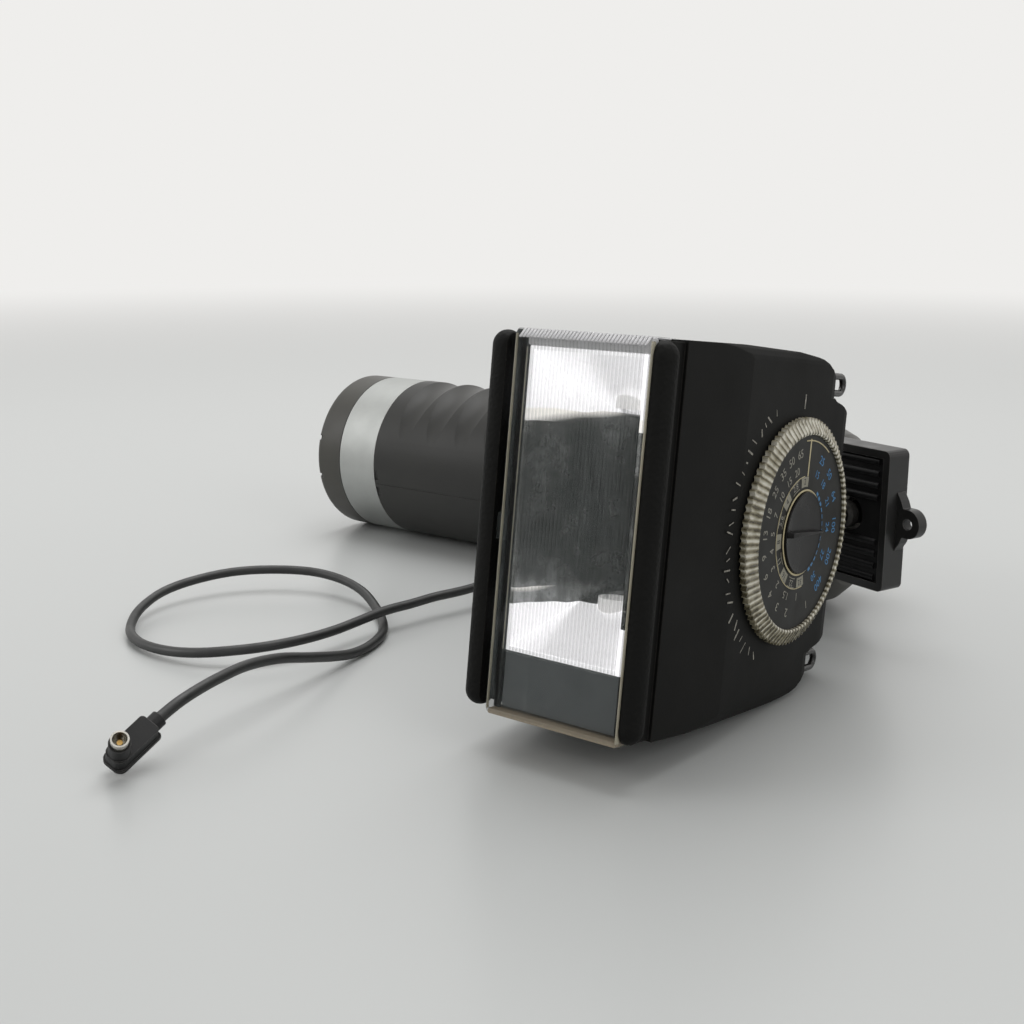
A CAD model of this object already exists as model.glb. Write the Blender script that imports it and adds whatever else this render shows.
# Hammer-head flash on a round handle, lying on a pale table with its sync cord
import math
import random
import bpy
from mathutils import Matrix, Vector


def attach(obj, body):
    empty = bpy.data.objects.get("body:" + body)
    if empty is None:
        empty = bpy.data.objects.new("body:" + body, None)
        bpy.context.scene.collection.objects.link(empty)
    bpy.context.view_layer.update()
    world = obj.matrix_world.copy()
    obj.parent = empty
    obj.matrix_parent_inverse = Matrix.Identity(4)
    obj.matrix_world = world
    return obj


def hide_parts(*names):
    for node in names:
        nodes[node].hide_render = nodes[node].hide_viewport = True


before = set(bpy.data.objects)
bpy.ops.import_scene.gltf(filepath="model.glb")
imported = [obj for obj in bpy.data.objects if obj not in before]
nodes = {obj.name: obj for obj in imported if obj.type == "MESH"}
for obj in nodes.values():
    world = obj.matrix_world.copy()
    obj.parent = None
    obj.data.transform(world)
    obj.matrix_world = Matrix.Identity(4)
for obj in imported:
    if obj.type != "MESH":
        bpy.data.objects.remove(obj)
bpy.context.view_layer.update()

mm = 0.001
scene = bpy.context.scene
scene.view_settings.view_transform = "Standard"


def place(x, y, z, turns=()):  # a frame in metres, from millimetres and turns in degrees
    matrix = Matrix.Translation(Vector((x, y, z)) * mm)
    for angle, axis in turns:
        matrix = matrix @ Matrix.Rotation(math.radians(angle), 4, axis)
    return matrix


# The part's own frames in mm and degrees: the handle's axis, the head and the camera plate
rig = {"x": 74.41, "y": 54.717, "handleR": 24.6, "tilt": 7.74, "reach": 130.9, "rise": 3.57}
plateSpot = {"back": 1.5, "aside": 15.4, "z": 33, "lean": 20}
handleFrame = place(rig["x"], rig["y"], rig["handleR"])
headFrame = handleFrame @ place(0, 0, 0, [(-rig["tilt"], "X")]) @ place(0, -rig["reach"], rig["rise"])
plateFrame = place(rig["x"] - plateSpot["back"], rig["y"] - plateSpot["aside"], plateSpot["z"],
                   [(-plateSpot["lean"], "Z")])

# Camera at the photograph's place: metres and degrees
cameraLook = {"lens": 47.04, "sensor": 36, "near": 0.01, "spot": (0.2041, -0.2706, 0.1050),
              "turns": (77.0, 0, 36.96)}
camera = bpy.data.cameras.new("camera")
camera.lens, camera.sensor_width = cameraLook["lens"], cameraLook["sensor"]
camera.clip_start = cameraLook["near"]
cameraObject = bpy.data.objects.new("camera", camera)
cameraObject.location = cameraLook["spot"]
cameraObject.rotation_euler = [math.radians(turn) for turn in cameraLook["turns"]]
scene.collection.objects.link(cameraObject)
scene.camera = cameraObject


def linear(hexColour):  # sRGB hex to linear
    parts = [int(hexColour[i:i + 2], 16) / 255 for i in (1, 3, 5)]
    return tuple(c / 12.92 if c <= 0.04045 else ((c + 0.055) / 1.055) ** 2.4 for c in parts) + (1,)


def addNode(tree, kind, settings=None, links=None):  # one node with its settings and links
    node = tree.nodes.new("ShaderNode" + kind)
    for key, value in (settings or {}).items():
        if isinstance(key, str) and hasattr(node, key):
            setattr(node, key, value)
        else:
            node.inputs[key].default_value = value
    for key, source in (links or {}).items():
        tree.links.new(source, node.inputs[key])
    return node


def waveScale(pitch):  # the scale at which a wave texture repeats every so many millimetres
    return math.pi / 10 / (pitch * mm)


def newMaterial(name):  # a material with its shader and Object coordinates
    material = bpy.data.materials.new(name)
    material.use_nodes = True
    tree = material.node_tree
    shader = tree.nodes["Principled BSDF"]
    where = addNode(tree, "TexCoord").outputs["Object"]
    return material, tree, shader, where


def dress(material, *names):  # a finish on CAD nodes
    for name in names:
        mesh = nodes[name].data
        mesh.materials.clear()
        mesh.materials.append(material)


def grainSurface(name, look, *parts):  # an opaque finish, put on the CAD nodes named
    # look: base and second colour and the size of the patches in mm, roughness from and to and the size of
    # the rubbed places, the grain of the bump in mm with its strength and depth. Some have edge, the worn
    # colour at the edges and its width, pebble, the grain on the head's bead, or glow, a faint light
    material, tree, shader, where = newMaterial(name)
    patches = addNode(tree, "TexNoise", {"Scale": 1000 / look["patch"], "Detail": 5, "Roughness": 0.6},
                      {"Vector": where})
    colour = addNode(tree, "ValToRGB", links={"Fac": patches.outputs["Fac"]})
    colour.color_ramp.elements[0].position, colour.color_ramp.elements[1].position = 0.35, 0.7
    colour.color_ramp.elements[0].color = linear(look["base"])
    colour.color_ramp.elements[1].color = linear(look["second"])
    out = colour.outputs["Color"]
    rub = addNode(tree, "TexNoise", {"Scale": 1000 / look.get("rub", 6), "Detail": 3}, {"Vector": where})
    rough = addNode(tree, "MapRange", {"From Min": 0.3, "From Max": 0.7, "To Min": look["rough"][0],
                                       "To Max": look["rough"][1]}, {"Value": rub.outputs["Fac"]})
    tree.links.new(rough.outputs["Result"], shader.inputs["Roughness"])
    normal = None
    if look.get("edge"):
        wear = {"chips": 1.6, "starts": 0.985, "full": 0.9}
        soft = addNode(tree, "Bevel", {"samples": 4, "Radius": look["edge"][1] * mm})
        flat = addNode(tree, "NewGeometry")
        dot = addNode(tree, "VectorMath", {"operation": "DOT_PRODUCT"},
                      {0: soft.outputs["Normal"], 1: flat.outputs["Normal"]})
        chips = addNode(tree, "TexNoise", {"Scale": 1000 / wear["chips"], "Detail": 4}, {"Vector": where})
        edge = addNode(tree, "MapRange", {"From Min": wear["starts"], "From Max": wear["full"]},
                       {"Value": dot.outputs["Value"]})
        worn = addNode(tree, "Math", {"operation": "MULTIPLY"},
                       {0: edge.outputs["Result"], 1: chips.outputs["Fac"]})
        blend = addNode(tree, "MixRGB", {"Color2": linear(look["edge"][0])},
                        {"Fac": worn.outputs["Value"], "Color1": out})
        out, normal = blend.outputs["Color"], soft.outputs["Normal"]
    tree.links.new(out, shader.inputs["Base Color"])
    grain = addNode(tree, "TexNoise", {"Scale": 1000 / look["grain"]}, {"Vector": where})
    bump = addNode(tree, "Bump", {"Strength": look["bump"], "Distance": look.get("deep", 0.05) * mm},
                   {"Height": grain.outputs["Fac"]})
    if normal:
        tree.links.new(normal, bump.inputs["Normal"])
    if look.get("pebble"):  # a coarser grain on the bead along the head's front, over its first 6 mm
        bead = {"full": 6.1, "end": 6.6, "strength": 0.75, "deep": 0.12}
        forward = headFrame.to_3x3() @ Vector((0, 1, 0))
        start = headFrame.translation.dot(forward)
        along = addNode(tree, "VectorMath", {"operation": "DOT_PRODUCT", 1: tuple(forward)}, {0: where})
        amount = addNode(tree, "MapRange", {"From Min": start + bead["end"] * mm,
                                            "From Max": start + bead["full"] * mm,
                                            "To Max": bead["strength"]}, {"Value": along.outputs["Value"]})
        stones = addNode(tree, "TexVoronoi", {"Scale": 1000 / look["pebble"]}, {"Vector": where})
        bump = addNode(tree, "Bump", {"Distance": bead["deep"] * mm}, {"Strength": amount.outputs["Result"],
                       "Height": stones.outputs["Distance"], "Normal": bump.outputs["Normal"]})
    tree.links.new(bump.outputs["Normal"], shader.inputs["Normal"])
    if look.get("glow"):
        shader.inputs["Emission Color"].default_value = linear(look["base"])
        shader.inputs["Emission Strength"].default_value = look["glow"]
    if "spec" in look:
        shader.inputs["Specular IOR Level"].default_value = look["spec"]
    shader.inputs["Metallic"].default_value = look.get("metal", 0)
    if look.get("ior"):
        shader.inputs["IOR"].default_value = look["ior"]
    dress(material, *parts)
    return material


# Ways of working on pieces
def addPiece(name, material, body, frameMatrix, smooth=30):  # the active mesh, finished and put on its body
    piece = bpy.context.object
    piece.name = piece.data.name = name
    bpy.ops.object.transform_apply(location=True, rotation=True, scale=True)
    piece.data.transform(frameMatrix)
    piece.data.materials.clear()
    piece.data.materials.append(material)
    if smooth:
        bpy.ops.object.shade_smooth_by_angle(angle=math.radians(smooth))
    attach(piece, body)
    return piece


def startMesh(kind, **settings):  # a primitive alone in the selection, in edit mode with nothing selected
    bpy.ops.object.select_all(action="DESELECT")
    getattr(bpy.ops.mesh, "primitive_" + kind + "_add")(**settings)
    bpy.ops.object.mode_set(mode="EDIT")
    bpy.ops.mesh.select_mode(type="VERT")
    bpy.ops.mesh.select_all(action="DESELECT")
    return bpy.context.object


def pick(piece, test, mode="VERT"):  # selects what passes the test, in code
    bpy.ops.object.mode_set(mode="OBJECT")
    kinds = {"VERT": piece.data.vertices, "EDGE": piece.data.edges, "FACE": piece.data.polygons}
    for kind, items in kinds.items():
        for item in items:
            item.select = kind == mode and bool(test(item))
    bpy.ops.object.mode_set(mode="EDIT")
    bpy.ops.mesh.select_mode(type=mode)


def finishMesh():  # doubles merged, then the faces turned outwards
    bpy.ops.mesh.select_all(action="SELECT")
    bpy.ops.mesh.remove_doubles(threshold=1e-6)
    bpy.ops.mesh.normals_make_consistent(inside=False)
    bpy.ops.object.mode_set(mode="OBJECT")


def joinAll(pieces):  # one piece from several
    bpy.ops.object.select_all(action="DESELECT")
    for piece in pieces:
        piece.select_set(True)
    bpy.context.view_layer.objects.active = pieces[0]
    if len(pieces) > 1:
        bpy.ops.object.join()
    return bpy.context.object


# Sync cord: its route in millimetres, as in the part, from the gland to the plug
cordLook = {
    "diameter": 2.4, "cuts": 4, "facets": 3, "exit": (-12, 21.55, 9.13), "plug": (4, -117.8, 8.25),
    "route": [(-11.8, 17.5, 7.4), (-10.8, 11.5, 6.3), (-9.5, 4.5, 5.8), (-9, -2.5, 5.7), (-10.2, -9.5, 5.6),
              (-12.2, -16.5, 5.5), (-13.3, -24.5, 5.4), (-14.8, -33, 5.3), (-15.1, -42, 4.9),
              (-15.3, -50.5, 4.6), (-16.8, -59, 4.4), (-20, -67, 4.2), (-25, -73.2, 3.8), (-32.3, -77.9, 3),
              (-41, -79.8, 2.2), (-50.5, -79.4, 1.8), (-59, -76.4, 1.8), (-66.3, -70.6, 2.1),
              (-72, -63, 3.1), (-75.3, -53.5, 4.4), (-75.3, -43.4, 5.2), (-71.8, -32.8, 5.8),
              (-64.6, -24.9, 6), (-55, -19.2, 5.8), (-45, -17.8, 5.1), (-35, -19.7, 3.9), (-25.8, -24.2, 2),
              (-17.3, -30.9, 1.4), (-10.8, -38.6, 1.3), (-7.3, -47, 1.3), (-5.8, -54.5, 1.8),
              (-4.2, -62.5, 3.7), (-2.9, -71, 6.1), (-1.8, -81, 8.9), (-0.4, -91, 10.5), (1.2, -99.5, 10.8),
              (2.5, -106.6, 10.5), (3.5, -112.8, 9.7)]}


def smoothRoute(points, cuts):  # a smooth line through the points, as the part draws it
    def at(i):
        return points[max(0, min(len(points) - 1, i))]
    line = []
    for i in range(len(points) - 1):
        a, b, c, d = at(i - 1), at(i), at(i + 1), at(i + 2)
        for j in range(cuts):
            t = j / cuts
            line.append(0.5 * (2 * b + (c - a) * t + (2 * a - 5 * b + 4 * c - d) * t * t
                               + (3 * b - a - 3 * c + d) * t ** 3))
    return line + [points[-1]]


# PVC cord: satin black with faint handling marks, a little dusty on top
cordPvc = grainSurface("satinPvcCord", {
    "base": "#1d1e1e", "second": "#2b2c2b", "patch": 9, "rough": (0.38, 0.55), "grain": 0.35, "bump": 0.25,
    "ior": 1.52}, "sync_cord")
routePoints = [Vector(p) * mm for p in [cordLook["exit"]] + cordLook["route"] + [cordLook["plug"]]]
cordLine = smoothRoute(routePoints, cordLook["cuts"])
cordCurve = bpy.data.curves.new("sync_lead", "CURVE")
cordCurve.dimensions = "3D"
cordCurve.bevel_depth = cordLook["diameter"] / 2 * mm
cordCurve.bevel_resolution = cordLook["facets"]
cordCurve.use_fill_caps = True
spline = cordCurve.splines.new("POLY")
spline.points.add(len(cordLine) - 1)
for point, spot in zip(spline.points, cordLine):
    point.co = (*spot, 1)
syncLead = bpy.data.objects.new("sync_lead", cordCurve)
scene.collection.objects.link(syncLead)
cordCurve.materials.append(cordPvc)
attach(syncLead, "handle")
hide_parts("sync_cord")

# Table and light, in metres; each lamp has its name, place, target, side of the square and watts
studio = {"floor": "#c6c8c7", "far": "#efeeec", "world": 0.5, "size": 3.2, "gloss": 0.32,
          "fade": (0.45, 1.5),
          "lamps": [("topBox", (-0.15, 0.25, 1.0), (0, 0, 0.03), 0.9, 6.5),
                    ("leftBox", (-0.7, -0.7, 0.55), (0, 0, 0.04), 0.6, 2.4),
                    ("rightCard", (0.9, -0.15, 0.5), (0.05, 0, 0.04), 0.5, 1.3)]}
bpy.ops.mesh.primitive_circle_add(vertices=96, radius=studio["size"], fill_type="NGON", location=(0, 0, 0))
floor = bpy.context.object
floor.name = "table_top"
floorMaterial, tree, shader, where = newMaterial("paleTable")
distance = addNode(tree, "VectorMath", {"operation": "LENGTH"}, {0: where})
fade = addNode(tree, "MapRange", {"From Min": studio["fade"][0], "From Max": studio["fade"][1],
                                  "interpolation_type": "SMOOTHSTEP"},
               {"Value": distance.outputs["Value"]})
isCamera = addNode(tree, "LightPath")
amount = addNode(tree, "Math", {"operation": "MULTIPLY"},
                 {0: fade.outputs["Result"], 1: isCamera.outputs["Is Camera Ray"]})
glow = addNode(tree, "Emission", {"Color": linear(studio["far"]), "Strength": 1.0})
mixed = addNode(tree, "MixShader",
                links={0: amount.outputs["Value"], 1: shader.outputs["BSDF"], 2: glow.outputs["Emission"]})
tree.links.new(mixed.outputs["Shader"], tree.nodes["Material Output"].inputs["Surface"])
shader.inputs["Base Color"].default_value = linear(studio["floor"])
shader.inputs["Roughness"].default_value = studio["gloss"]
floor.data.materials.append(floorMaterial)

world = bpy.data.worlds.new("softRoom")
scene.world = world
world.use_nodes = True
tree = world.node_tree
background = tree.nodes["Background"]
background.inputs["Color"].default_value = linear(studio["far"])
path = addNode(tree, "LightPath")
seen = addNode(tree, "Math", {"operation": "MAXIMUM"},
               {0: path.outputs["Is Camera Ray"], 1: path.outputs["Is Glossy Ray"]})
seenToo = addNode(tree, "Math", {"operation": "MAXIMUM"},
                  {0: seen.outputs["Value"], 1: path.outputs["Is Transmission Ray"]})
strength = addNode(tree, "MapRange", {"To Min": studio["world"], "To Max": 1.0},
                   {"Value": seenToo.outputs["Value"]})
tree.links.new(strength.outputs["Result"], background.inputs["Strength"])


def areaLight(name, spot, target, size, power):  # a white square lamp that looks at its target
    lamp = bpy.data.lights.new(name, "AREA")
    lamp.shape, lamp.size, lamp.energy = "SQUARE", size, power
    lampObject = bpy.data.objects.new(name, lamp)
    lampObject.location = spot
    lampObject.rotation_euler = (Vector(target) - Vector(spot)).to_track_quat("-Z", "Y").to_euler()
    scene.collection.objects.link(lampObject)


for lampLook in studio["lamps"]:
    areaLight(*lampLook)
print("camera, table and light")

# Finishes of the CAD nodes

# Injection-moulded ABS with a fine spark-eroded grain: matte black, brownish where hands polished it
shellAbs = grainSurface("grainedBlackAbs", {
    "base": "#10100f", "second": "#131312", "patch": 45, "rough": (0.5, 0.62), "rub": 22, "grain": 0.5,
    "bump": 0.4, "deep": 0.04, "edge": ("#3d3b38", 0.4), "pebble": 0.9, "spec": 0.1}, "top_shell",
    "bottom_shell", "head_arm")
# The same ABS, smoother: satin grip shells with soft polish
grainSurface("satinGripAbs", {
    "base": "#363635", "second": "#3b3b39", "patch": 40, "rough": (0.36, 0.46), "rub": 25, "grain": 0.6,
    "bump": 0.12, "deep": 0.03, "edge": ("#454341", 0.35), "spec": 0.2}, "grip_front", "grip_rear")
# The caps at both ends, greyer and rubbed light along their edges
grainSurface("turnedCapAbs", {
    "base": "#444340", "second": "#4b4a45", "patch": 20, "rough": (0.36, 0.5), "rub": 12, "grain": 0.5,
    "bump": 0.25, "edge": ("#7d7f80", 0.45), "spec": 0.3}, "battery_cap", "top_cap")
# Aluminium band, bead-blasted and anodised: even grey with a fine grit and a few dull spots
grainSurface("blastedAluminiumBand", {
    "base": "#a2a4a2", "second": "#acaeac", "patch": 16, "rough": (0.5, 0.58), "grain": 0.25, "bump": 0.2,
    "metal": 1, "rub": 10, "edge": ("#cfcfcb", 0.25)}, "metal_band")
# Camera plate: die-cast, stove-enamelled black with bright worn corners
grainSurface("wornBlackEnamel", {
    "base": "#242424", "second": "#2a2a29", "patch": 10, "rough": (0.3, 0.42), "grain": 0.45, "bump": 0.3,
    "edge": ("#8b8987", 0.3), "spec": 0.4}, "camera_plate", "eyelet")
# Ribbed pad: black nitrile rubber, dull
grainSurface("dullNitrilePad", {
    "base": "#151516", "second": "#1d1d1e", "patch": 6, "rough": (0.4, 0.55), "grain": 0.3, "bump": 0.3,
    "spec": 0.3}, "plate_pad")
# Moulded acetal wheel and slider: dull black, paler on the ridges
grainSurface("knurledWheelAcetal", {
    "base": "#1c1c1d", "second": "#272728", "patch": 4, "rough": (0.4, 0.55), "grain": 0.3, "bump": 0.3,
    "edge": ("#555452", 0.25), "ior": 1.48}, "thumb_wheel", "power_slider")
# Nickel-plated steel: bright with fine turning scratches
grainSurface("nickelPlatedSteel", {
    "base": "#b7b5ae", "second": "#cfccc4", "patch": 1.5, "rough": (0.18, 0.32), "grain": 0.2, "bump": 0.15,
    "metal": 1}, "plug_sleeve", "tube_electrodes", "screw_washer", "hinge_pin")
# Camera screw: chemically blacked steel, greyer on the thread's crests
blackedSteel = grainSurface("blackedScrewSteel", {
    "base": "#232221", "second": "#3b3936", "patch": 1.2, "rough": (0.34, 0.48), "grain": 0.25, "bump": 0.2,
    "metal": 0.6}, "camera_screw")
# Zinc-plated screws, a little greyer and duller
grainSurface("zincPlatedScrews", {
    "base": "#8f8f8b", "second": "#a5a49e", "patch": 1.2, "rough": (0.32, 0.48), "grain": 0.25, "bump": 0.2,
    "metal": 1}, "shell_screws", "arm_screws", "grip_screws", "bearing_tube")
# Spring steel: grey and satin
grainSurface("springSteel", {
    "base": "#7f7d78", "second": "#96938c", "patch": 1, "rough": (0.3, 0.4), "grain": 0.2, "bump": 0.15,
    "metal": 1}, "button_spring")
# Phosphor bronze contacts, brownish gold
grainSurface("phosphorBronzeContact", {
    "base": "#b08d52", "second": "#c6a468", "patch": 1.4, "rough": (0.28, 0.42), "grain": 0.2, "bump": 0.15,
    "metal": 1}, "contact_spring", "plug_pin")
# Blackened steel wire of the strap rings, with bare spots
grainSurface("blackenedSteelWire", {
    "base": "#141414", "second": "#2b2927", "patch": 1.5, "rough": (0.2, 0.34), "grain": 0.3, "bump": 0.2,
    "ior": 1.5}, "strap_lugs")
# Soft PVC of the plug and the gland, shinier on its edges
grainSurface("softPvcPlug", {
    "base": "#171718", "second": "#202020", "patch": 3, "rough": (0.42, 0.56), "grain": 0.3, "bump": 0.3,
    "edge": ("#6c6b69", 0.25), "spec": 0.28}, "plug_body", "cord_gland")
# Acetal washers: off-white and a little waxy
grainSurface("whiteAcetalWashers", {
    "base": "#cfc7ae", "second": "#ded7c2", "patch": 6, "rough": (0.4, 0.5), "grain": 0.4, "bump": 0.1,
    "ior": 1.48}, "collar_washers")
# Machined acetal hub: mid grey, satin
grainSurface("greyAcetalHub", {
    "base": "#7f7f7c", "second": "#8f8e8a", "patch": 4, "rough": (0.4, 0.5), "grain": 0.4, "bump": 0.1,
    "ior": 1.48}, "dial_hub")
# Dark panel in the window's end: PVC sheet, grey under the clear cover
grainSurface("greyPanelSheet", {
    "base": "#4f5354", "second": "#585c5d", "patch": 8, "rough": (0.5, 0.65), "grain": 0.4, "bump": 0.15,
    "ior": 1.5}, "blank_panel")
# Moulded red ABS button: bright and fairly glossy
grainSurface("redAbsButton", {
    "base": "#9c2a1e", "second": "#ab3526", "patch": 2, "rough": (0.3, 0.42), "grain": 0.4, "bump": 0.15,
    "ior": 1.53}, "test_button")
# Cast orange acrylic of the ready lamp: smooth and shiny
grainSurface("orangeAcrylicLamp", {
    "base": "#e0691f", "second": "#ee8438", "patch": 1.2, "rough": (0.08, 0.16), "grain": 0.5, "bump": 0.05,
    "ior": 1.49}, "ready_lamp")
# Inside, pressed phenolic of the switches and the cell holder: slate grey and matt
grainSurface("greyPhenolicSwitch", {
    "base": "#3f4448", "second": "#4b5054", "patch": 3, "rough": (0.45, 0.6), "grain": 0.4, "bump": 0.2,
    "ior": 1.55}, "power_switch", "button_switch", "battery_cartridge")
# PVC film shrunk round the cells and the capacitor: blue, thin and glossy
grainSurface("shrunkPvcFilm", {
    "base": "#234a78", "second": "#2c5a8e", "patch": 12, "rough": (0.2, 0.34), "grain": 0.9, "bump": 0.15,
    "ior": 1.53}, "main_capacitor", "battery_cells")
# Moulded silicone of the tube's grommets: white, soft, lit by the mirror beside it
grainSurface("whiteSiliconeGrommet", {
    "base": "#e6e5e4", "second": "#eeedec", "patch": 2, "rough": (0.5, 0.65), "grain": 0.4, "bump": 0.15,
    "glow": 0.4, "ior": 1.41}, "tube_grommets")
# Paper phenolic board: brown and mottled
grainSurface("brownPhenolicBoard", {
    "base": "#6d4a20", "second": "#7e582a", "patch": 2.5, "rough": (0.45, 0.6), "grain": 0.3, "bump": 0.2,
    "ior": 1.55}, "circuit_board")
# Lacquered sensor cell: dark red-brown, shiny
grainSurface("brownSensorCell", {
    "base": "#4d2c27", "second": "#5d3830", "patch": 0.8, "rough": (0.2, 0.3), "grain": 0.3, "bump": 0.1,
    "ior": 1.5}, "light_sensor")


def coilWinding():
    # Enamelled copper wire wound in layers: bright rings. The wire is 0.35 mm thick, and the rings are drawn
    # every 2.2 mm, so that they show
    look = {"gap": "#5a3616", "wire": "#a86a32", "pitch": 2.2, "waver": 0.4, "rough": 0.32, "metal": 0.6}
    material, tree, shader, where = newMaterial("enamelledCopperWinding")
    turns = addNode(tree, "TexWave", {"bands_direction": "Z", "Scale": waveScale(look["pitch"]),
                                      "Distortion": look["waver"]}, {"Vector": where})
    ramp = addNode(tree, "ValToRGB", links={"Fac": turns.outputs["Fac"]})
    ramp.color_ramp.elements[0].color = linear(look["gap"])
    ramp.color_ramp.elements[1].color = linear(look["wire"])
    tree.links.new(ramp.outputs["Color"], shader.inputs["Base Color"])
    bump = addNode(tree, "Bump", {"Strength": 0.6, "Distance": 0.1 * mm}, {"Height": turns.outputs["Fac"]})
    tree.links.new(bump.outputs["Normal"], shader.inputs["Normal"])
    shader.inputs["Metallic"].default_value = look["metal"]
    shader.inputs["Roughness"].default_value = look["rough"]
    return material


dress(coilWinding(), "trigger_coil", "converter_transformer")


def reflectorMetal():
    # Bright-rolled aluminium: white and bright towards both ends, a dark mirror with rolling lines between
    # them, and streaks where the ends meet the trough; low and high are along the head, in mm
    look = {"end": "#f6f5f7", "trough": "#4f5150", "haze": "#b9bbba", "streak": "#d9d4bf",
            "low": (-14.7, -11.4), "high": (20.6, 23.0), "streakPitch": 15.08, "glow": 0.75,
            "uneven": (9, 1.6), "line": 1.1, "cloud": 14, "rough": 0.24, "metal": (0.85, 0.25)}
    material, tree, shader, where = newMaterial("rolledReflectorAluminium")
    up = headFrame.to_3x3() @ Vector((0, 0, 1))
    start = headFrame.translation.dot(up)
    wave = addNode(tree, "TexNoise", {"Scale": 1000 / look["uneven"][0], "Detail": 1}, {"Vector": where})
    along = addNode(tree, "VectorMath", {"operation": "DOT_PRODUCT", 1: tuple(up)}, {0: where})
    height = addNode(tree, "MapRange", {"clamp": False, "From Min": start, "From Max": start + mm},
                     {"Value": along.outputs["Value"]})
    height = addNode(tree, "Math", {"operation": "MULTIPLY_ADD", 1: look["uneven"][1]},
                     {0: wave.outputs["Fac"], 2: height.outputs["Result"]})
    lines = addNode(tree, "TexNoise", {"Scale": 1000 / look["line"], "Detail": 3},
                    {"Vector": addNode(tree, "Mapping", {"Scale": (1, 1, 0.04)},
                                       {"Vector": where}).outputs["Vector"]})
    clouds = addNode(tree, "TexNoise", {"Scale": 1000 / look["cloud"], "Detail": 5, "Roughness": 0.65},
                     {"Vector": where})
    haze = addNode(tree, "MapRange", {"From Min": 0.45, "From Max": 0.72}, {"Value": clouds.outputs["Fac"]})
    dark = addNode(tree, "MixRGB", {"Color1": linear(look["trough"]), "Color2": linear(look["haze"])},
                   {"Fac": haze.outputs["Result"]})
    shade = addNode(tree, "MapRange", {"From Min": 0.35, "From Max": 0.65, "To Min": 0.8, "To Max": 1.25},
                    {"Value": lines.outputs["Fac"]})
    colour = addNode(tree, "MixRGB", {"blend_type": "MULTIPLY", "Fac": 1},
                     {"Color1": dark.outputs["Color"], "Color2": shade.outputs["Result"]})
    streaks = addNode(tree, "TexWave", {"bands_direction": "Z", "Scale": waveScale(look["streakPitch"]),
                                        "Distortion": 2.5, "Detail": 2}, {"Vector": where})
    part = addNode(tree, "MapRange", {"From Min": 0.45, "From Max": 0.75}, {"Value": streaks.outputs["Fac"]})
    ends = None
    for beyond, streaky, white in (("LESS_THAN", look["low"][1], look["low"][0]),
                                   ("GREATER_THAN", look["high"][0], look["high"][1])):
        inside = addNode(tree, "Math", {"operation": beyond, 1: streaky}, {0: height.outputs["Value"]})
        amount = addNode(tree, "Math", {"operation": "MULTIPLY"},
                         {0: inside.outputs["Value"], 1: part.outputs["Result"]})
        colour = addNode(tree, "MixRGB", {"Color2": linear(look["streak"])},
                         {"Fac": amount.outputs["Value"], "Color1": colour.outputs["Color"]})
        full = addNode(tree, "Math", {"operation": beyond, 1: white}, {0: height.outputs["Value"]})
        colour = addNode(tree, "MixRGB", {"Color2": linear(look["end"])},
                         {"Fac": full.outputs["Value"], "Color1": colour.outputs["Color"]})
        reach = addNode(tree, "Math", {"operation": "MAXIMUM"},
                        {0: full.outputs["Value"], 1: amount.outputs["Value"]})
        ends = addNode(tree, "Math", {"operation": "MAXIMUM"},
                       {0: ends.outputs["Value"], 1: reach.outputs["Value"]}) if ends else reach
    tree.links.new(colour.outputs["Color"], shader.inputs["Base Color"])
    dusty = addNode(tree, "Math", {"operation": "MULTIPLY", 1: 0.6}, {0: haze.outputs["Result"]})
    dusty = addNode(tree, "Math", {"operation": "MAXIMUM"},
                    {0: dusty.outputs["Value"], 1: ends.outputs["Value"]})
    metal = addNode(tree, "MapRange", {"To Min": look["metal"][0], "To Max": look["metal"][1]},
                    {"Value": dusty.outputs["Value"]})
    tree.links.new(metal.outputs["Result"], shader.inputs["Metallic"])
    glow = addNode(tree, "MixRGB", {"Color1": (0, 0, 0, 1), "Color2": linear(look["end"])},
                   {"Fac": ends.outputs["Value"]})
    tree.links.new(glow.outputs["Color"], shader.inputs["Emission Color"])
    shader.inputs["Emission Strength"].default_value = look["glow"]
    shader.inputs["Roughness"].default_value = look["rough"]
    bump = addNode(tree, "Bump", {"Strength": 0.15, "Distance": 0.08 * mm}, {"Height": lines.outputs["Fac"]})
    tree.links.new(bump.outputs["Normal"], shader.inputs["Normal"])
    return material


dress(reflectorMetal(), "reflector")


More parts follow.
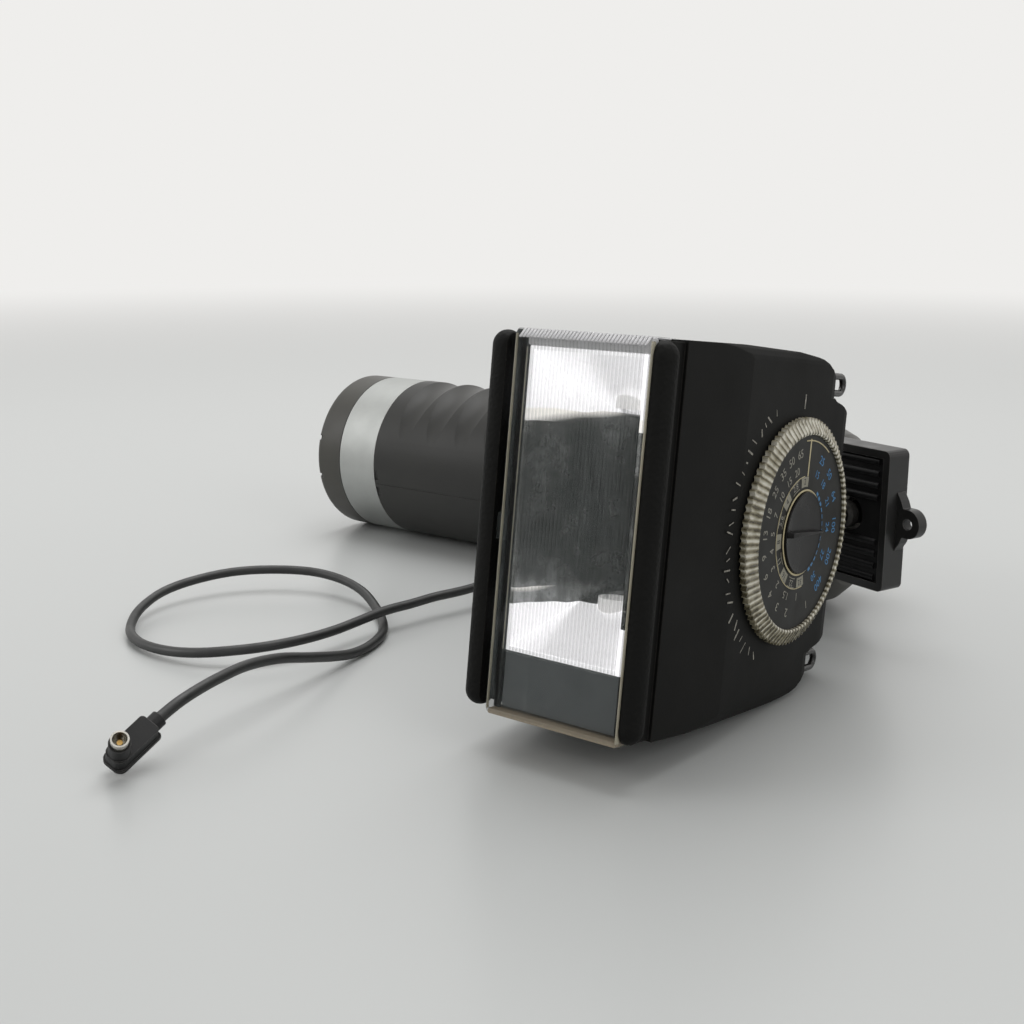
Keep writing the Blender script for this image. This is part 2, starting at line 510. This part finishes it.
def clearPlastic(name, look):
    # Clear acrylic or quartz: mostly see-through, whiter where it is seen edge-on, with fine scratches
    material, tree, shader, where = newMaterial(name)
    scratches = addNode(tree, "TexNoise", {"Scale": 1000 / look["scratch"], "Detail": 6, "Distortion": 2},
                        {"Vector": addNode(tree, "Mapping", {"Scale": look.get("stretch", (1, 1, 1))},
                                           {"Vector": where}).outputs["Vector"]})
    edgeOn = addNode(tree, "LayerWeight", {"Blend": look.get("blend", 0.35)})
    alpha = addNode(tree, "MapRange", {"To Min": look["alpha"][0], "To Max": look["alpha"][1]},
                    {"Value": edgeOn.outputs["Fresnel"]})
    haze = addNode(tree, "MapRange", {"From Min": 0.55, "From Max": 0.8, "To Max": look["haze"]},
                   {"Value": scratches.outputs["Fac"]})
    total = addNode(tree, "Math", {"operation": "ADD", "use_clamp": True},
                    {0: alpha.outputs["Result"], 1: haze.outputs["Result"]})
    if look.get("lines"):  # a line along each rib, where it gathers the light
        pitch, strength = look["lines"]
        lines = addNode(tree, "TexWave", {"bands_direction": "X", "Scale": waveScale(pitch)},
                        {"Vector": where})
        total = addNode(tree, "Math", {"operation": "MULTIPLY_ADD", "use_clamp": True, 1: strength},
                        {0: lines.outputs["Fac"], 2: total.outputs["Value"]})
    tree.links.new(total.outputs["Value"], shader.inputs["Alpha"])
    rough = addNode(tree, "MapRange", {"To Min": look["rough"], "To Max": look["rough"] + 0.15},
                    {"Value": scratches.outputs["Fac"]})
    tree.links.new(rough.outputs["Result"], shader.inputs["Roughness"])
    shader.inputs["Base Color"].default_value = linear(look["tint"])
    shader.inputs["IOR"].default_value = look["ior"]
    bump = addNode(tree, "Bump", {"Strength": 0.15, "Distance": 0.05 * mm},
                   {"Height": scratches.outputs["Fac"]})
    tree.links.new(bump.outputs["Normal"], shader.inputs["Normal"])
    return material


# Window and the sensor's cover: clear moulded acrylic, greyish where edge-on, scratched along its length
windowAcrylic = clearPlastic("clearWindowAcrylic", {
    "tint": "#8d9392", "alpha": (0.0, 0.4), "haze": 0.1, "scratch": 5, "rough": 0.05, "ior": 1.49,
    "stretch": (1, 1, 0.12)})
dress(windowAcrylic, "front_window", "sensor_window")
# The same acrylic where its ribs bend the light: faint lines over dark and over white
ribAcrylic = clearPlastic("ribbedAcrylic", {
    "tint": "#a3a7a5", "alpha": (0.02, 0.25), "haze": 0.05, "lines": (0.8, 0.14), "scratch": 4,
    "rough": 0.08, "ior": 1.49})
# Its edges, where light comes out: pale and yellowish
edgeAcrylic = clearPlastic("edgeLitAcrylic", {
    "tint": "#c2bca8", "alpha": (0.6, 0.9), "haze": 0.1, "scratch": 2, "rough": 0.12, "ior": 1.49})
# Its ribbed returns, almost white
returnAcrylic = clearPlastic("ribbedReturnAcrylic", {
    "tint": "#f1f0f2", "alpha": (0.75, 1.0), "haze": 0.1, "scratch": 2, "rough": 0.15, "ior": 1.49})
# Its lower return, browned with age
browned = clearPlastic("brownedReturnAcrylic", {
    "tint": "#a79b87", "alpha": (0.75, 1.0), "haze": 0.15, "scratch": 1.5, "rough": 0.15, "ior": 1.49})
# Drawn quartz of the flash tube: clear, darker where seen edge-on
tubeQuartz = clearPlastic("clearQuartzTube", {
    "tint": "#5b6061", "alpha": (0.02, 0.3), "haze": 0.05, "scratch": 3, "rough": 0.03, "ior": 1.46})
dress(tubeQuartz, "flash_tube")
# Scale disc: black anodised print, fine scuffs
grainSurface("blackPrintedDisc", {
    "base": "#131311", "second": "#1a1a17", "patch": 6, "rough": (0.4, 0.52), "grain": 0.3, "bump": 0.1,
    "spec": 0.2}, "scale_disc")
# Polished ABS of the middle knob: near black and glossy
knobAbs = grainSurface("polishedKnobAbs", {
    "base": "#0d0c0c", "second": "#121110", "patch": 5, "rough": (0.24, 0.34), "grain": 0.5, "bump": 0.05,
    "spec": 0.14}, "dial_knob")
print("finishes of the CAD nodes")

# Window ribs: moulded on the inside of the front pane, a rib every 0.8 mm
ribLook = {"x0": -18.9, "x1": 7.4, "pitch": 0.8, "deep": 0.3, "y": 1.5, "z0": -24.6, "z1": 35.4,
           "wall": 0.12, "shoulder": 0.7}


def makeRibs():
    count = int((ribLook["x1"] - ribLook["x0"]) / ribLook["pitch"])
    piece = startMesh("plane", size=1)
    bpy.ops.mesh.select_all(action="SELECT")
    bpy.ops.transform.resize(value=(ribLook["pitch"] * mm, (ribLook["z1"] - ribLook["z0"]) * mm, 1))
    bpy.ops.mesh.subdivide(number_cuts=3)
    # its points now stand at quarters of the pitch: first the middle ones, then those on both sides of them
    width = ribLook["pitch"] * mm
    pick(piece, lambda v: abs(v.co.x) < width * 0.1)
    bpy.ops.transform.translate(value=(0, 0, ribLook["deep"] * mm))
    pick(piece, lambda v: width * 0.1 < abs(v.co.x) < width * 0.4)
    bpy.ops.transform.translate(value=(0, 0, ribLook["shoulder"] * ribLook["deep"] * mm))
    bpy.ops.object.mode_set(mode="OBJECT")
    array = piece.modifiers.new("rows", "ARRAY")
    array.count, array.use_merge_vertices = count, True
    array.merge_threshold = 1e-6
    bpy.ops.object.modifier_apply(modifier="rows")
    thick = piece.modifiers.new("thick", "SOLIDIFY")
    thick.thickness, thick.offset = ribLook["wall"] * mm, -1
    bpy.ops.object.modifier_apply(modifier="thick")
    # the ribs' sheet stands up along z, with its crests towards the reflector
    stand = place(ribLook["x0"] + ribLook["pitch"] / 2, ribLook["y"] + ribLook["wall"],
                  (ribLook["z0"] + ribLook["z1"]) / 2, [(-90, "X")])
    addPiece("window_ribs", ribAcrylic, "head", headFrame @ stand, 40)


makeRibs()

# Bright edges of the window: bars along its sides, with their finish and two corners in head millimetres,
# and the ribbed returns over its top, with their length, middle and lean
edgeLook = {
    "ease": 0.3,
    "bars": [("window_edge_right", edgeAcrylic, (8.84, -0.02, -36.2), (9.12, 1.2, 36.2)),
             ("window_edge_left", edgeAcrylic, (-20.6, 0.1, -36.0), (-20.4, 0.7, 36.0)),
             ("window_edge_inner", edgeAcrylic, (-18.9, 1.52, -24.2), (-18.75, 1.8, 33.6)),
             ("window_top_strip", returnAcrylic, (-18.9, 1.6, 33.9), (8.5, 3.4, 36.9)),
             ("window_inner_frame", shellAbs, (-20.4, 2.1, -36.0), (-19.0, 3.0, 36.0)),
             ("window_return_bottom", browned, (-20.4, 0.3, -37.05), (8.8, 8.6, -35.9))],
    "ribs": {"pitch": 0.8, "x0": -19.6, "x1": 8.2, "radius": 0.36, "ease": 0.12, "flat": 0.5,
             "rows": [("window_return_ribs", 7.0, (5.0, 36.85), 90),
                      ("window_corner_ribs", 2.4, (0.95, 36.2), 45)]}}


def makeBar(name, finish, low, high):  # a box with eased edges
    startMesh("cube", size=1)
    bpy.ops.mesh.select_all(action="SELECT")
    bpy.ops.transform.resize(value=tuple((b - a) * mm for a, b in zip(low, high)))
    bpy.ops.transform.translate(value=tuple((a + b) / 2 * mm for a, b in zip(low, high)))
    thin = min(b - a for a, b in zip(low, high))
    bpy.ops.mesh.bevel(offset=edgeLook["ease"] * thin * mm, segments=2, affect="EDGES")
    bpy.ops.object.mode_set(mode="OBJECT")
    addPiece(name, finish, "head", headFrame, 30)


def makeReturnRibs(name, length, middle, lean):  # a row of flat round-ended ribs across the window
    look = edgeLook["ribs"]
    rib = startMesh("cylinder", vertices=10, radius=look["radius"] * mm, depth=length * mm)
    bpy.ops.object.mode_set(mode="OBJECT")
    pick(rib, lambda f: abs(f.normal.z) > 0.9, "FACE")
    bpy.ops.mesh.bevel(offset=look["ease"] * mm, segments=2, affect="EDGES")
    bpy.ops.mesh.select_all(action="SELECT")
    bpy.ops.transform.resize(value=(1, look["flat"], 1))
    bpy.ops.transform.rotate(value=math.radians(lean), orient_axis="X")
    bpy.ops.transform.translate(value=(look["x0"] * mm, middle[0] * mm, middle[1] * mm))
    bpy.ops.object.mode_set(mode="OBJECT")
    rows = rib.modifiers.new("rows", "ARRAY")
    rows.use_relative_offset, rows.use_constant_offset = False, True
    rows.constant_offset_displace = (look["pitch"] * mm, 0, 0)
    rows.count = int((look["x1"] - look["x0"]) / look["pitch"]) + 1
    bpy.ops.object.modifier_apply(modifier="rows")
    addPiece(name, returnAcrylic, "head", headFrame, 40)


for bar in edgeLook["bars"]:
    makeBar(*bar)
for ribRow in edgeLook["ribs"]["rows"]:
    makeReturnRibs(*ribRow)
print("window ribs and edges")

# Knurled ring of the dial: a toothed skirt, a toothed cone above it, a flat lip and the bore. Each level has
# its radius, its height and the depth of the teeth there
ringLook = {"teeth": 96, "y": 57, "x": 13.2,
            "levels": [(24.0, 0.0, 0.6), (24.0, 1.2, 0.6), (23.2, 1.5, 0.5), (21.3, 2.6, 0.45),
                       (20.9, 2.6, 0.0), (20.5, 2.4, 0.0), (20.5, 0.0, 0.0)]}


def onDial(x, turned=False):  # a frame on the dial's axis; turned, its x runs back along the head
    return headFrame @ place(x, ringLook["y"], 0, [(90, "Y"), (90, "Z")] if turned else [(90, "Y")])


# Cast acrylic, yellowed with age: glossy, with light caught in its teeth
ringAcrylic = clearPlastic("yellowedRingAcrylic", {
    "tint": "#b3ad94", "alpha": (0.82, 1.0), "haze": 0.1, "scratch": 2, "rough": 0.15, "ior": 1.49,
    "blend": 0.5})


def ringTeeth(material):
    # The ring's teeth bend the light: pale crests, brown-grey flanks and dark gaps, in step with the teeth
    look = {"gap": "#57513f", "flank": "#a8a189", "crest": "#f1ede0"}
    tree = material.node_tree
    shader = tree.nodes["Principled BSDF"]
    dialFrame = onDial(ringLook["x"])
    where = addNode(tree, "TexCoord").outputs["Object"]
    local = addNode(tree, "Mapping", {"vector_type": "TEXTURE", "Location": tuple(dialFrame.translation),
                                      "Rotation": tuple(dialFrame.to_euler())}, {"Vector": where})
    around = addNode(tree, "TexGradient", {"gradient_type": "RADIAL"}, {"Vector": local.outputs["Vector"]})
    turns = addNode(tree, "Math", {"operation": "MULTIPLY", 1: ringLook["teeth"] * 2 * math.pi},
                    {0: around.outputs["Fac"]})
    swing = addNode(tree, "Math", {"operation": "SINE"}, {0: turns.outputs["Value"]})
    uneven = addNode(tree, "TexNoise", {"Scale": 1000 / 1.8, "Detail": 3}, {"Vector": where})
    mixed = addNode(tree, "Math", {"operation": "MULTIPLY_ADD", 1: 0.3},
                    {0: swing.outputs["Value"], 2: uneven.outputs["Fac"]})
    ramp = addNode(tree, "ValToRGB", links={"Fac": mixed.outputs["Value"]})
    ramp.color_ramp.elements[0].position, ramp.color_ramp.elements[0].color = 0.2, linear(look["gap"])
    ramp.color_ramp.elements[1].position, ramp.color_ramp.elements[1].color = 0.85, linear(look["crest"])
    ramp.color_ramp.elements.new(0.5).color = linear(look["flank"])
    tree.links.new(ramp.outputs["Color"], shader.inputs["Base Color"])


def makeRing():
    teeth = ringLook["teeth"]
    levels = ringLook["levels"]
    piece = startMesh("circle", vertices=4 * teeth, radius=levels[0][0] * mm)
    bpy.ops.mesh.select_all(action="SELECT")
    for (r, x, _), (r2, x2, _) in zip(levels, levels[1:]):
        bpy.ops.mesh.extrude_region_move(TRANSFORM_OT_translate={"value": (0, 0, (x2 - x) * mm)})
        bpy.ops.transform.resize(value=(r2 / r, r2 / r, 1), center_override=(0, 0, x2 * mm))
    bpy.ops.object.mode_set(mode="OBJECT")
    # every second pair of points goes in by the tooth's depth at its level
    for vertex in piece.data.vertices:
        radius = math.hypot(vertex.co.x, vertex.co.y) / mm
        height = vertex.co.z / mm
        depth = min((abs(radius - r) + abs(height - x), cut) for r, x, cut in levels)[1]
        step = round(math.degrees(math.atan2(vertex.co.y, vertex.co.x)) * 4 * teeth / 360) % 4
        if step in (1, 2) and depth:
            vertex.co.xy = vertex.co.xy * (radius - depth) / radius
    bpy.ops.object.mode_set(mode="EDIT")
    bpy.ops.mesh.select_all(action="DESELECT")
    bpy.ops.mesh.select_non_manifold()
    bpy.ops.mesh.bridge_edge_loops()
    finishMesh()
    ring = addPiece("knurled_ring", ringAcrylic, "dial", onDial(ringLook["x"]), 25)
    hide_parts("dial_ring")


ringTeeth(ringAcrylic)
makeRing()

# Printed scales on the disc. Numbers stand on rings, tops outwards: radius, size, and each number with its
# angle in degrees from the right, counter-clockwise
printLook = {
    "x": 15.13, "thick": 0.03, "font": 1.35,
    "white": [(16.9, 1.9, [(105, "65"), (119, "50"), (133, "35"), (148, "25"), (164, "18"), (179, "13"),
                           (194, "9"), (209, "6"), (225, "4"), (241, "3"), (258, "2"), (291, "1")]),
              (13.6, 1.7, [(112, "20"), (128, "15"), (145, "10"), (162, "7"), (178, "5"), (193, "4"),
                           (209, "3"), (228, "2"), (250, "1.5"), (273, "1")])],
    "blue": [(16.2, 1.9, [(66, "25"), (47, "50"), (26, "64"), (3, "100"), (-22, "200"), (-46, "400")]),
             (12.9, 1.7, [(68, "15"), (50, "18"), (27, "21"), (2, "24"), (-25, "27"), (-50, "30")])],
    "boxes": {"radius": 10.7, "size": 1.35, "half": 8.6, "width": 2.1, "line": 0.18, "edge": 0.95,
              "lift": 0.035, "row": [(95, "2"), (118, "2.8"), (141, "4"), (164, "5.6"), (187, "8"),
                                     (210, "11"), (233, "16"), (256, "22"), (279, "32")]},
    "blocks": {"radius": 9.9, "turn": 5.5, "width": 0.7, "angles": range(-58, 56, 9)},
    "sector": {"side": [(0.2, 19.6), (0.2, 11.8)], "width": 0.5, "outer": (19.3, 60, 96),
               "outerWidth": 0.25, "inner": (11.9, 96, 284), "innerWidth": 0.16}}
# Screen-printed inks, all matt: white a little yellowed, light blue, black, the boxes and beige
whiteInk = grainSurface("agedWhiteInk", {
    "base": "#98958a", "second": "#85827a", "patch": 1.2, "rough": (0.5, 0.65), "grain": 0.2, "bump": 0.1})
blueInk = grainSurface("lightBlueInk", {
    "base": "#4682b4", "second": "#3c739f", "patch": 1.2, "rough": (0.5, 0.65), "grain": 0.2, "bump": 0.1})
darkInk = grainSurface("blackInk", {
    "base": "#161616", "second": "#202020", "patch": 1, "rough": (0.5, 0.65), "grain": 0.2, "bump": 0.1})
boxInk = grainSurface("yellowedBoxInk", {
    "base": "#918e80", "second": "#7f7c6f", "patch": 1.5, "rough": (0.5, 0.65), "grain": 0.2, "bump": 0.1})
beigeInk = grainSurface("beigeInk", {
    "base": "#c9bd98", "second": "#b5a983", "patch": 1.5, "rough": (0.45, 0.6), "grain": 0.25,
    "bump": 0.15})
discFrame = onDial(printLook["x"], turned=True)


def writeNumber(text, radius, angle, size, lift=0.0):  # a number on its ring, top outwards
    bpy.ops.object.select_all(action="DESELECT")
    bpy.ops.object.text_add()
    word = bpy.context.object
    word.data.body, word.data.size = text, size * mm * printLook["font"]
    word.data.align_x, word.data.align_y = "CENTER", "CENTER"
    word.data.extrude = printLook["thick"] / 2 * mm
    word.data.resolution_u = 3
    bpy.ops.object.convert(target="MESH")
    word = bpy.context.object
    turn = Matrix.Rotation(math.radians(angle - 90), 4, "Z")
    word.data.transform(turn @ Matrix.Translation((0, radius * mm, lift * mm)))
    return word


def writeRows(name, rows, ink):  # all the numbers of one ink
    joinAll([writeNumber(text, radius, angle, size) for radius, size, row in rows for angle, text in row])
    addPiece(name, ink, "dial", discFrame, 0)


def stroke(points, width):  # a flat printed line through points on the disc
    piece = startMesh("plane", size=1)
    bpy.ops.mesh.select_all(action="SELECT")
    bpy.ops.mesh.delete(type="VERT")
    bpy.ops.object.mode_set(mode="OBJECT")
    mesh = piece.data
    count = len(points)
    mesh.vertices.add(2 * count)
    for i, point in enumerate(points):
        before, after = points[max(i - 1, 0)], points[min(i + 1, count - 1)]
        side = Vector((before[1] - after[1], after[0] - before[0])).normalized() * width / 2
        for k, sign in enumerate((1, -1)):
            x, y = point[0] + sign * side.x, point[1] + sign * side.y
            mesh.vertices[2 * i + k].co = (x * mm, y * mm, 0)
    bpy.ops.object.mode_set(mode="EDIT")
    for i in range(count - 1):
        pick(piece, lambda v: v.index in (2 * i, 2 * i + 1, 2 * i + 2, 2 * i + 3))
        bpy.ops.mesh.edge_face_add()
    bpy.ops.mesh.select_all(action="SELECT")
    bpy.ops.mesh.normals_make_consistent(inside=False)
    bpy.ops.object.mode_set(mode="OBJECT")
    thick = piece.modifiers.new("thick", "SOLIDIFY")
    thick.thickness, thick.offset = printLook["thick"] * mm, 1
    bpy.ops.object.modifier_apply(modifier="thick")
    return piece


def arcPoints(radius, start, end, step=6):  # points along an arc, in degrees
    count = max(2, int(abs(end - start) / step) + 1)
    return [(radius * math.cos(math.radians(start + (end - start) * i / (count - 1))),
             radius * math.sin(math.radians(start + (end - start) * i / (count - 1)))) for i in range(count)]


writeRows("white_numbers", printLook["white"], whiteInk)
writeRows("blue_numbers", printLook["blue"], blueInk)
box, blocks, sector = printLook["boxes"], printLook["blocks"], printLook["sector"]


def boxArc(angle, width, off=0.0):  # a stroke as long as a box
    return stroke(arcPoints(box["radius"] + off, angle - box["half"], angle + box["half"], 4), width)


joinAll([boxArc(a, box["width"]) for a, _ in box["row"][::2]]
        + [boxArc(a, box["line"], side * box["edge"]) for a, _ in box["row"][1::2] for side in (-1, 1)])
addPiece("white_boxes", boxInk, "dial", discFrame, 0)
joinAll([writeNumber(text, box["radius"], angle, box["size"], box["lift"])
         for angle, text in box["row"][::2]])
addPiece("box_numbers_dark", darkInk, "dial", discFrame, 0)
joinAll([writeNumber(text, box["radius"], angle, box["size"]) for angle, text in box["row"][1::2]])
addPiece("box_numbers_light", whiteInk, "dial", discFrame, 0)
joinAll([stroke(arcPoints(blocks["radius"], a, a + blocks["turn"], 3), blocks["width"])
         for a in blocks["angles"]])
addPiece("blue_blocks", blueInk, "dial", discFrame, 0)
joinAll([stroke(sector["side"], sector["width"]), stroke(arcPoints(*sector["outer"]), sector["outerWidth"]),
         stroke(arcPoints(*sector["inner"]), sector["innerWidth"])])
addPiece("sector_line", beigeInk, "dial", discFrame, 0)
print("dial printing")

# Middle knob: a dish with a thin bar across it, narrower at its pointer end, and a beige rim
knobLook = {"radius": 8.6, "x0": 15.2, "high": 0.62, "lip": 0.18, "dish": (8.3, 0.28),
            "bar": (0.9, 16.6, 1.5), "taper": (1.6, 0.5), "top": (0.9, 0.7), "eased": 0.1}


def makeKnob():
    base = startMesh("cylinder", vertices=96, radius=knobLook["radius"] * mm, depth=knobLook["high"] * mm,
                     location=(0, 0, knobLook["high"] / 2 * mm))
    bpy.ops.object.mode_set(mode="OBJECT")
    bpy.ops.object.transform_apply(location=True)
    pick(base, lambda f: f.normal.z > 0.9, "FACE")
    bpy.ops.mesh.bevel(offset=knobLook["lip"] * mm, segments=3, affect="EDGES")
    bpy.ops.object.mode_set(mode="OBJECT")
    wide, deep = knobLook["dish"]
    bpy.ops.object.select_all(action="DESELECT")
    bpy.ops.mesh.primitive_uv_sphere_add(segments=96, ring_count=48, radius=mm,
                                         location=(0, 0, knobLook["high"] * mm))
    ball = bpy.context.object
    ball.scale = (wide, wide, deep)
    bpy.ops.object.transform_apply(location=True, rotation=False, scale=True)
    cut = base.modifiers.new("hollow", "BOOLEAN")
    cut.operation, cut.object, cut.solver = "DIFFERENCE", ball, "EXACT"
    bpy.context.view_layer.objects.active = base
    bpy.ops.object.modifier_apply(modifier="hollow")
    bpy.data.objects.remove(ball)
    width, long, high = knobLook["bar"]
    bar = startMesh("cube", size=1)
    bpy.ops.mesh.select_all(action="SELECT")
    bpy.ops.transform.resize(value=(long * mm, width * mm, high * mm))
    bpy.ops.transform.translate(value=(0, 0, (knobLook["high"] / 3 + high / 2) * mm))
    for side, factor in zip((-1, 1), knobLook["taper"]):
        pick(bar, lambda v: v.co.x * side > 0)
        bpy.ops.transform.resize(value=(1, factor, 1))
    pick(bar, lambda v: v.co.z > knobLook["high"] * mm)
    bpy.ops.transform.resize(value=(*knobLook["top"], 1))
    bpy.ops.mesh.select_all(action="SELECT")
    bpy.ops.mesh.bevel(offset=knobLook["eased"] * mm, segments=3, affect="EDGES")
    bpy.ops.object.mode_set(mode="OBJECT")
    joinAll([base, bar])
    knob = addPiece("dished_knob", knobAbs, "knob", onDial(knobLook["x0"], turned=True), 25)
    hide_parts("dial_knob")


makeKnob()
# Beige rim round the knob, printed thick and flat
rimLook = {"radius": 8.9, "tube": 0.22, "x": 15.25, "flat": 0.6}
bpy.ops.object.select_all(action="DESELECT")
bpy.ops.mesh.primitive_torus_add(major_radius=rimLook["radius"] * mm, minor_radius=rimLook["tube"] * mm,
                                 major_segments=96, minor_segments=12)
bpy.ops.object.mode_set(mode="EDIT")
bpy.ops.mesh.select_all(action="SELECT")
bpy.ops.transform.resize(value=(1, 1, rimLook["flat"]))
bpy.ops.object.mode_set(mode="OBJECT")
addPiece("knob_rim", beigeInk, "dial", onDial(rimLook["x"]), 60)

# Marks on the shell beside the dial: worn ticks with the radii of their ends, what each may be off, how far
# they may lean and how wide they are, and a plain index tick above
tickLook = {"x": 12.93, "radii": (27.2, 29.2), "angles": range(118, 246, 5), "nearOff": (-0.3, 0.6),
            "farOff": (-0.9, 0.8), "lean": (-2.5, 2.5), "width": (0.18, 0.42),
            "index": [(0, 25.6), (0, 28.6)], "indexWidth": 0.45}
random.seed(4)
ticks = []
for angle in tickLook["angles"]:
    near, far = tickLook["radii"]
    start = near + random.uniform(*tickLook["nearOff"])
    end = far + random.uniform(*tickLook["farOff"])
    a = math.radians(angle)
    b = math.radians(angle + random.uniform(*tickLook["lean"]))
    ticks.append(stroke([(start * math.cos(a), start * math.sin(a)), (end * math.cos(b), end * math.sin(b))],
                        random.uniform(*tickLook["width"])))
ticks.append(stroke(tickLook["index"], tickLook["indexWidth"]))
joinAll(ticks)
# The same white ink on the shell, scuffed until the black shows through
scuffedInk = grainSurface("scuffedWhiteMarks", {
    "base": "#a9a69c", "second": "#514e49", "patch": 0.7, "rough": (0.5, 0.7), "grain": 0.2, "bump": 0.2})
addPiece("shell_ticks", scuffedInk, "head", onDial(tickLook["x"], turned=True), 0)
print("marks on the shell")

# Thread of the camera screw: fine rings over the plain CAD rod
threadLook = {"x": 12.4, "y0": -11.4, "y1": -9.4, "lift": 0.2, "radius": 3.17, "wire": 0.16, "pitch": 0.5}


def makeThread():
    rings = []
    count = int((threadLook["y1"] - threadLook["y0"]) / threadLook["pitch"])
    for i in range(count):
        bpy.ops.object.select_all(action="DESELECT")
        bpy.ops.mesh.primitive_torus_add(major_radius=threadLook["radius"] * mm,
                                         minor_radius=threadLook["wire"] * mm, major_segments=40,
                                         minor_segments=6, location=(0, 0, i * threadLook["pitch"] * mm))
        rings.append(bpy.context.object)
    joinAll(rings)
    addPiece("screw_thread", blackedSteel, "screw",
             plateFrame @ place(threadLook["x"], threadLook["y0"] + threadLook["lift"], 0, [(-90, "X")]), 60)


makeThread()
print("pieces done")
